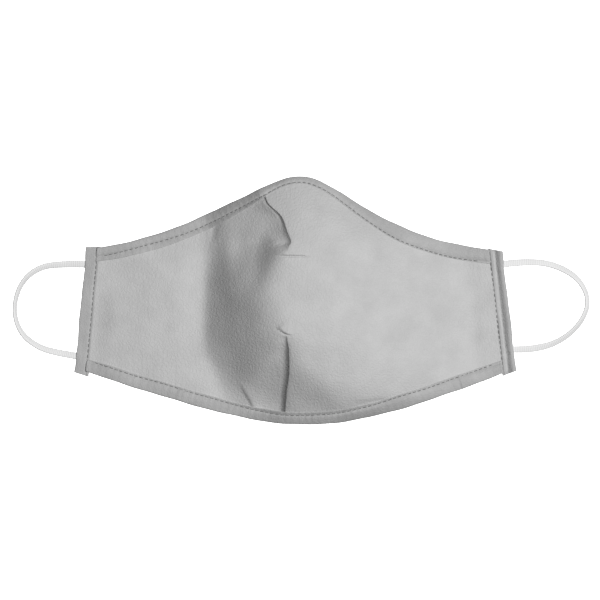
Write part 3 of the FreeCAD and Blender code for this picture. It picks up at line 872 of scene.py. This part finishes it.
# The left hem's flat part, and the part beyond its seam.
FLAT_HIGH, FLAT_DROP, FLAT_MIDDLE, FLAT_REACH, FLAT_POWER = 2.75, 0.3, 3.1, 3.3, 6
BEYOND_HIGH, BEYOND_MORE, BEYOND_MIDDLE, BEYOND_WIDE = 2.55, 0.25, 7.3, 0.6
BEYOND_FROM, BEYOND_OVER = 0.7, 1.2
HEM_GROOVE_DEEP, HEM_GROOVE_WIDE = 0.5, 0.42
# Depths of the points round a hem: at its two edges, beside its seam, and over its flat part.
HEM_EDGE_ROWS, HEM_SEAM_ROWS = [8.0, 7.95, 0.2, 0.04], [0.45, 0.2, 0.0, -0.2, -0.45]
HEM_FLAT_END, HEM_FLAT_START = {"left": 5.8, "right": 6.7}, 0.5
HEM_RINGS = 110
HEM_WOBBLE = [(0.16, 6.3, 2), (0.1, 2.9, 0)]
HEM_MIDDLE = HEM_THICK / 2
# The inner edge from INNER_EDGE on: share of the height over the layers, and rise under them.
INNER_EDGE, INNER_LOW, INNER_RISE = 7.8, 0.75, 0.1
UNDER_DEEP, UNDER_GROOVE_DEEP, UNDER_GROOVE_WIDE = 1.45, 0.35, 0.5


def hem_profile(side, depth, run):
    """Height of a hem's upper side at a depth from its outer edge."""
    seam = HEM_SEAM[side]
    slow = sines(run, [(0.1, 7.5, SIDES[side]), (0.06, 3.1, 0)])
    if side == "right":
        roll = np.cos(math.pi / 2 * np.clip((depth - ROLL_FROM) / (HEM_FOLD - ROLL_FROM), -0.5, 1)) ** 2
        beside = np.clip((depth - INNER_MIDDLE) / (INNER_MIDDLE - HEM_FOLD), -1, 1)
        inner = 1 - np.abs(beside) ** INNER_POWER
        height = np.where(depth < HEM_FOLD, ROLL_LOW + ROLL_MORE * roll, ROLL_LOW + INNER_MORE * inner)
        height = height - FOLD_DEEP * bell(depth - HEM_FOLD, FOLD_WIDE)
        pleat = PLEAT_DEEP * bell(run - PLEAT_RUN, PLEAT_WIDE)
        pleat = pleat * ease((depth - PLEAT_FROM) / PLEAT_FROM_OVER)
        height = height - pleat * ease((PLEAT_TO - depth) / PLEAT_TO_OVER)
    else:
        flat = FLAT_HIGH - FLAT_DROP * np.abs((depth - FLAT_MIDDLE) / FLAT_REACH) ** FLAT_POWER
        beyond = BEYOND_HIGH + BEYOND_MORE * bell(depth - BEYOND_MIDDLE, BEYOND_WIDE)
        height = flat + (beyond - flat) * ease((depth - seam + BEYOND_FROM) / BEYOND_OVER)
    groove = HEM_GROOVE_DEEP * bell(depth - seam, HEM_GROOVE_WIDE)
    return height - groove + slow * ease(depth / 2) * ease((seam + 1 - depth) / 2)


def hem_ends(side, share):
    """y of a hem's two ends, at a share of the way from its outer to its inner edge."""
    (high_out, high_in), (low_out, low_in) = HEM_ENDS[side]
    return high_out + (high_in - high_out) * share, low_out + (low_in - low_out) * share


def hem_rings(side):
    """Rings of points round the hem from its nose end to its chin end, and the length run at each."""
    high_out, low_out = hem_ends(side, 0)
    flat_rows = np.linspace(HEM_FLAT_END[side], HEM_FLAT_START, num=14)
    depths = np.sort([*HEM_EDGE_ROWS, *(HEM_SEAM[side] + np.array(HEM_SEAM_ROWS)), *flat_rows])[::-1]
    rings, ring_run = [], []
    for t in np.linspace(0, 1, HEM_RINGS):
        run = t * (high_out - low_out)
        wobble = sines(run, HEM_WOBBLE) + 0.35 * bell(1 - t, 0.04) - 0.25 * bell(t - 0.13, 0.05)
        ring = []
        for upper in (True, False):
            row = depths if upper else depths[::-1]
            depth_share = row / HEM_WIDE
            high, low = hem_ends(side, depth_share)
            y = high + (low - high) * t
            x = side_edge(side, y) - SIDES[side] * (row - wobble * (1 - depth_share))
            edge_round = np.sqrt(np.clip(row / HEM_ROUND, 0, 1))
            if upper:
                top = HEM_MIDDLE + (hem_profile(side, row, run) - HEM_MIDDLE) * edge_round
                z = top * np.where(row > INNER_EDGE, INNER_LOW, 1)
            else:
                groove = UNDER_GROOVE_DEEP * bell(row - HEM_SEAM[side], UNDER_GROOVE_WIDE)
                z = HEM_MIDDLE - UNDER_DEEP * edge_round + groove + INNER_RISE * (row > INNER_EDGE)
            ring.append(np.column_stack([x, y, z]))
        rings.append(np.vstack(ring))
        ring_run.append(run)
    return np.array(rings), np.array(ring_run)


MOUTH_LIP, MOUTH_LIP_OUT = [1, 1, 0.97], 0.12
MOUTH_WALL, MOUTH_WALL_OUT = [0.06, 0.06, 0.42], 0.05
MOUTH_DEEP = 2.2


def close_ends(rings):
    """Adds a folded-in mouth at each end, so that the hem shows its cut layers."""

    def mouth(ring, way):
        centre = ring.mean(axis=0)
        lip = centre + (ring - centre) * MOUTH_LIP + way * MOUTH_LIP_OUT
        wall = ring + (centre - ring) * MOUTH_WALL + way * MOUTH_WALL_OUT
        return lip, wall, wall - way * MOUTH_DEEP

    start = mouth(rings[0], unit(rings[0].mean(axis=0) - rings[1].mean(axis=0)))
    end = mouth(rings[-1], unit(rings[-1].mean(axis=0) - rings[-2].mean(axis=0)))
    return np.concatenate([np.array(start[::-1]), rings, np.array(end)])


def make_hem(side):
    rings, run = hem_rings(side)
    rings = close_ends(rings)
    run = np.concatenate([[run[0]] * 3, run, [run[-1]] * 3])
    middle_ring = rings[len(rings) // 2]
    around = np.concatenate([[0], np.cumsum(np.linalg.norm(np.diff(middle_ring, axis=0), axis=1))])
    uvs = np.stack(np.broadcast_arrays(run[:, None], around[None]), -1)
    return outward(tube(f"side_hem_{side}", rings, uvs))


SEAM_PAST_ENDS, UNDER_THREAD = 1.2, 0.32


def hem_seam(side):
    """The two rows of stitches through a hem, on top and underneath."""
    depth = HEM_SEAM[side]
    high, low = hem_ends(side, depth / HEM_WIDE)
    y = np.linspace(high - SEAM_PAST_ENDS, low + SEAM_PAST_ENDS, num=120)
    run = hem_ends(side, 0)[0] - y
    x = side_edge(side, y) - SIDES[side] * sines(run, [(0.1, 5, 0)], base=depth)
    over = np.column_stack([x, y, hem_profile(side, depth, run) + PROUD])
    under = np.column_stack([x, y, np.full_like(y, UNDER_THREAD)])
    return [(over, 1), (under, -1)]


hems = {side: make_hem(side) for side in SIDES}
hem_stitches = {side: make_stitches(f"side_hem_stitches_{side}", hem_seam(side)) for side in SIDES}

# ---- materials ----


def node(tree, kind, **inputs):
    """A new node with the given values on its inputs."""
    made = tree.nodes.new(kind)
    for name, value in inputs.items():
        made.inputs[name.replace("_", " ")].default_value = value
    return made


TONES_FROM, TONES_TO = 0.55, 0.95  # where the noise turns from the dark tone to the light one
PEBBLE_BEND = 0.0016
GLOSS, SHEEN, SHEEN_SPREAD = 0.25, 0.15, 0.6


def fabric(name, grey, roughness, pebble=0.0, fibre=0.0, pebble_size=2.0, mottle=0.06, ribs=0.0):
    """Matt cloth: a grey that varies a little, pebbles, fibres and ribs as bump, and a little sheen."""
    material = bpy.data.materials.new(name)
    material.use_nodes = True
    tree = material.node_tree
    shader = tree.nodes["Principled BSDF"]
    shader.inputs["Roughness"].default_value = roughness
    shader.inputs["Specular IOR Level"].default_value = GLOSS
    shader.inputs["Sheen Weight"].default_value = SHEEN
    shader.inputs["Sheen Roughness"].default_value = SHEEN_SPREAD
    place = node(tree, "ShaderNodeUVMap")
    place.uv_map = "Cloth"
    per_mm = 1 / MM
    link = tree.links.new

    def noise(per_length, **inputs):
        made = node(tree, "ShaderNodeTexNoise", Scale=per_length * per_mm, **inputs)
        link(place.outputs["UV"], made.inputs["Vector"])
        return made.outputs

    patches = noise(0.06, Detail=3.0, Roughness=0.55)
    grain = noise(1.6, Detail=2.0, Roughness=0.6)
    mixed = node(tree, "ShaderNodeMath", Value=0.5)
    mixed.operation = "MULTIPLY_ADD"
    mixed.inputs[1].default_value = 0.5
    link(grain["Fac"], mixed.inputs[0])
    link(patches["Fac"], mixed.inputs[2])
    tones = node(tree, "ShaderNodeValToRGB")
    dark, light = tones.color_ramp.elements
    dark.position, light.position = TONES_FROM, TONES_TO
    dark.color = (*[grey * (1 - mottle)] * 3, 1)
    light.color = (*[grey * (1 + mottle)] * 3, 1)
    link(mixed.outputs[0], tones.inputs["Fac"])
    link(tones.outputs["Color"], shader.inputs["Base Color"])

    normal = None

    def bump(height, strength, distance):
        nonlocal normal
        made = node(tree, "ShaderNodeBump", Strength=strength, Distance=distance * MM)
        link(height, made.inputs["Height"])
        if normal is not None:
            link(normal, made.inputs["Normal"])
        normal = made.outputs["Normal"]

    if pebble:
        shifted = node(tree, "ShaderNodeMixRGB", Fac=PEBBLE_BEND)
        shifted.blend_type = "LINEAR_LIGHT"
        link(place.outputs["UV"], shifted.inputs["Color1"])
        link(noise(0.5, Detail=2.0)["Color"], shifted.inputs["Color2"])
        cells = node(tree, "ShaderNodeTexVoronoi", Scale=1 / pebble_size * per_mm)
        cells.feature = "DISTANCE_TO_EDGE"
        link(shifted.outputs["Color"], cells.inputs["Vector"])
        rounded = node(tree, "ShaderNodeMapRange", From_Max=0.3)
        rounded.interpolation_type = "SMOOTHERSTEP"
        link(cells.outputs["Distance"], rounded.inputs["Value"])
        bump(rounded.outputs["Result"], pebble, distance=0.25)
    if ribs:
        knit = node(tree, "ShaderNodeTexWave", Scale=0.31 * per_mm, Distortion=1.5, Detail=1.0)
        knit.inputs["Detail Scale"].default_value = 2.0
        knit.bands_direction = "X"
        link(place.outputs["UV"], knit.inputs["Vector"])
        bump(knit.outputs["Fac"], ribs, distance=0.15)
    if fibre:
        bump(noise(3.2, Detail=3.0, Roughness=0.7)["Fac"], fibre, distance=0.12)
    if normal is not None:
        link(normal, shader.inputs["Normal"])
    return material


BOUND = {"pebble": 0.45, "fibre": 0.35, "pebble_size": 1.5, "mottle": 0.1}
MATERIALS = {
    "shell_fabric": fabric("Face fabric", 0.42, 0.75, pebble=0.42, fibre=0.35, mottle=0.06),
    "lining_fabric": fabric("Lining fabric", 0.62, 0.85, pebble=0.12, fibre=0.4, pebble_size=1.2),
    "filter_fabric": fabric("Filter felt", 0.7, 0.9, fibre=0.5),
    "binding_tape": fabric("Binding tape", 0.345, 0.78, **BOUND),
    "casing_fabric": fabric("Hem fabric", 0.345, 0.78, **BOUND),
    # The thread's grey, far darker than the cloth's, is painted shade: it stands for the shadow in the
    # stitch holes and along the seam groove.
    "thread": fabric("Thread darkened as painted seam shade", 0.11, 0.6, fibre=0.3, mottle=0.12),
    "elastic": fabric("Knitted elastic", 0.66, 0.7, fibre=0.25, ribs=0.5, mottle=0.03),
}

# ---- stage and light ----


FLOOR_REACH = 1500


def make_stage():
    """A pale floor that camera and light pass through, so that a half folded down under it still shows."""
    corners = np.array([(-1, -1, 0), (1, -1, 0), (1, 1, 0), (-1, 1, 0)]) * FLOOR_REACH
    floor = make_mesh("Floor", corners, [[0, 1, 2, 3]])
    paint = bpy.data.materials.new("Floor paint")
    paint.use_nodes = True
    shader = paint.node_tree.nodes["Principled BSDF"]
    shader.inputs["Base Color"].default_value = (0.9, 0.9, 0.9, 1)
    shader.inputs["Roughness"].default_value = 0.9
    floor.data.materials.append(paint)
    floor.visible_camera = floor.visible_diffuse = floor.visible_shadow = False


KEY_RISE, KEY_TURN = math.radians(66), math.radians(14)  # above the floor, and from +X towards +Y
KEY_AWAY, KEY_SIZE, KEY_POWER = 4.0, 1.5, 203.0  # metres, metres and watts
AMBIENT, BACKDROP = 0.055, 2.4  # the room's strength, and what the camera sees of it
FILL_SUN, FILL_ANGLE = 2.0, math.radians(60)


def make_lights():
    """A large soft light from the right, one from below, and a white room, dim except to the camera."""
    out = KEY_AWAY * math.cos(KEY_RISE)
    place = (out * math.cos(KEY_TURN), out * math.sin(KEY_TURN), KEY_AWAY * math.sin(KEY_RISE))
    data = bpy.data.lights.new("Key", "AREA")
    data.energy, data.shape, data.size = KEY_POWER, "DISK", KEY_SIZE
    key = add("Key", data)
    key.location = place
    key.rotation_mode = "QUATERNION"
    key.rotation_quaternion = Vector(place).to_track_quat("Z", "Y")
    below = bpy.data.lights.new("Fill", "SUN")
    below.energy, below.angle = FILL_SUN, FILL_ANGLE
    add("Fill", below).rotation_euler = (math.pi, 0, 0)
    world = bpy.data.worlds.new("Studio")
    world.use_nodes = True
    tree = world.node_tree
    seen = node(tree, "ShaderNodeLightPath")
    strength = node(tree, "ShaderNodeMapRange", To_Min=AMBIENT, To_Max=BACKDROP)
    tree.links.new(seen.outputs["Is Camera Ray"], strength.inputs["Value"])
    tree.links.new(strength.outputs["Result"], tree.nodes["Background"].inputs["Strength"])
    tree.nodes["Background"].inputs["Color"].default_value = (1, 1, 1, 1)
    bpy.context.scene.world = world
    bpy.context.scene.view_settings.view_transform = "Standard"


make_stage()
make_lights()

# ---- each piece's material and the CAD parts it stands for; the hems and their stitches ride on their half ----


def both(stem):
    return [f"{stem}_{side}" for side in SIDES]


def finish_piece(item, slot, nodes):
    item.data.materials.append(MATERIALS[slot])
    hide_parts(*nodes)


def across_fold(item, slot, stem):
    finish_piece(item, slot, both(stem))
    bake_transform(item)


across_fold(face, "shell_fabric", "face_panel")
across_fold(filter_felt, "filter_fabric", "filter_layer")
across_fold(lining, "lining_fabric", "lining")
for edge in EDGES:
    across_fold(tapes[edge], "binding_tape", f"{edge}_binding")
    across_fold(tape_stitches[edge], "thread", f"{edge}_binding_thread")
for side in SIDES:
    finish_piece(hems[side], "casing_fabric", [f"side_casing_{side}"])
    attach(hems[side], f"{side}_half")
    finish_piece(hem_stitches[side], "thread", [f"casing_thread_{side}"])
    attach(hem_stitches[side], f"{side}_half")
    loop, centre = loops[side]
    finish_piece(loop, "elastic", [f"ear_loop_{side}", f"ear_loop_ends_{side}"])
    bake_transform(loop)
